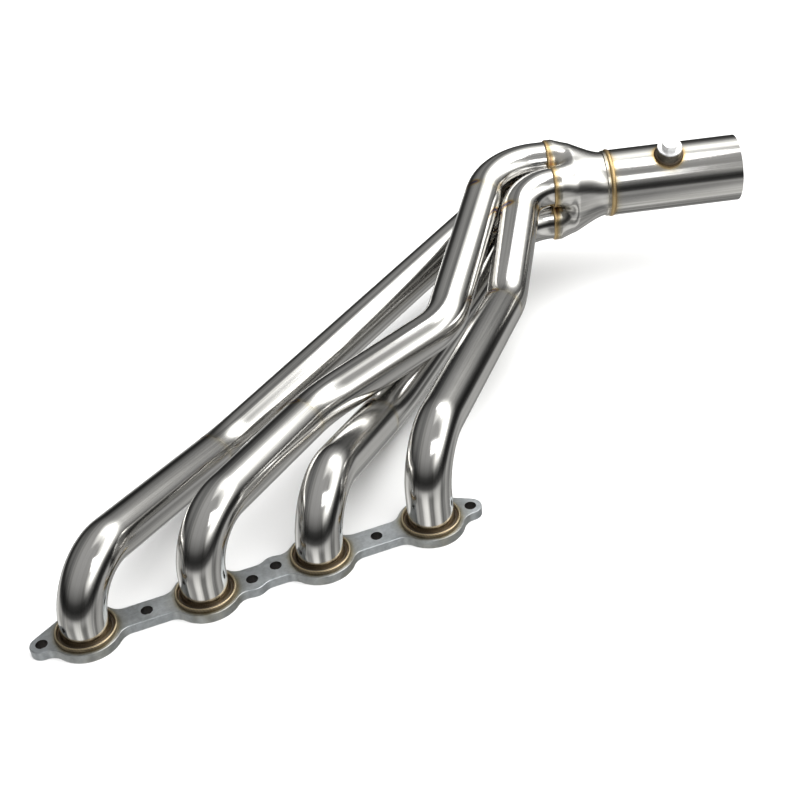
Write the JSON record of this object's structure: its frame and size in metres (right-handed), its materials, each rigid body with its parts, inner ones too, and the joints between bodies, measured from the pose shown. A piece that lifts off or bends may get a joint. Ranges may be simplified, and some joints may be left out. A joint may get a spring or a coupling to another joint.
{
  "type": "exhaust manifold",
  "caption": "Long-tube exhaust manifold: a flat head flange, round primary tubes that sweep together into a merge collector, and a straight outlet pipe with a plugged sensor bung.",
  "frame": {"origin": "middle of the flange's mating face", "axes": "+X along the row of ports, towards the collector; +Z the flange normal, the way the tubes leave; +Y the way the tubes are swept"},
  "size_m": [0.9195, 0.4684, 0.1611],
  "materials": {
    "flange_plate": "satin",
    "polished_tube": "polished",
    "weld_bead": "heat-tinted weld",
    "collector_shell": "polished, heat-tinted at the welds",
    "outlet_tube": "polished",
    "bung_steel": "machined",
    "zinc_washer": "zinc plated",
    "zinc_plug": "zinc plated"
  },
  "bodies": {
    "manifold": {"head_flange": "flange_plate", "primary_1_port_bend": "polished_tube", "primary_1_run": "polished_tube", "primary_1_collector_bend": "polished_tube", "primary_2_port_bend": "polished_tube", "primary_2_run": "polished_tube", "primary_2_collector_bend": "polished_tube", "primary_3_port_bend": "polished_tube", "primary_3_run": "polished_tube", "primary_3_collector_bend": "polished_tube", "primary_4_port_bend": "polished_tube", "primary_4_run": "polished_tube", "primary_4_collector_bend": "polished_tube", "flange_weld_1": "weld_bead", "flange_weld_2": "weld_bead", "flange_weld_3": "weld_bead", "flange_weld_4": "weld_bead", "collector_inlet_weld_1": "weld_bead", "collector_inlet_weld_2": "weld_bead", "collector_inlet_weld_3": "weld_bead", "collector_inlet_weld_4": "weld_bead", "merge_spike": "collector_shell", "merge_collector": "collector_shell", "collector_outlet_weld": "weld_bead", "outlet_pipe": "outlet_tube", "sensor_bung": "bung_steel", "sensor_bung_weld": "weld_bead"},
    "plug_washer": {"sensor_plug_washer": "zinc_washer"},
    "plug": {"sensor_plug": "zinc_plug"}
  },
  "joints": [
    {"name": "plug_lift", "type": "slide", "parent": "manifold", "child": "plug_washer", "axis": [-0.1077, -0.3756, 0.9205], "range_m": [0, 0.01]},
    {"name": "plug_turn", "type": "hinge", "parent": "plug_washer", "child": "plug", "pos_m": [0.60491, 0.32002, 0.14966], "axis": [-0.1077, -0.3756, 0.9205], "range_deg": [0, 2450]}
  ],
  "couplings": [
    {"joint": "plug_turn", "follows": "plug_lift", "rad_per_m": 4188.8}
  ]
}
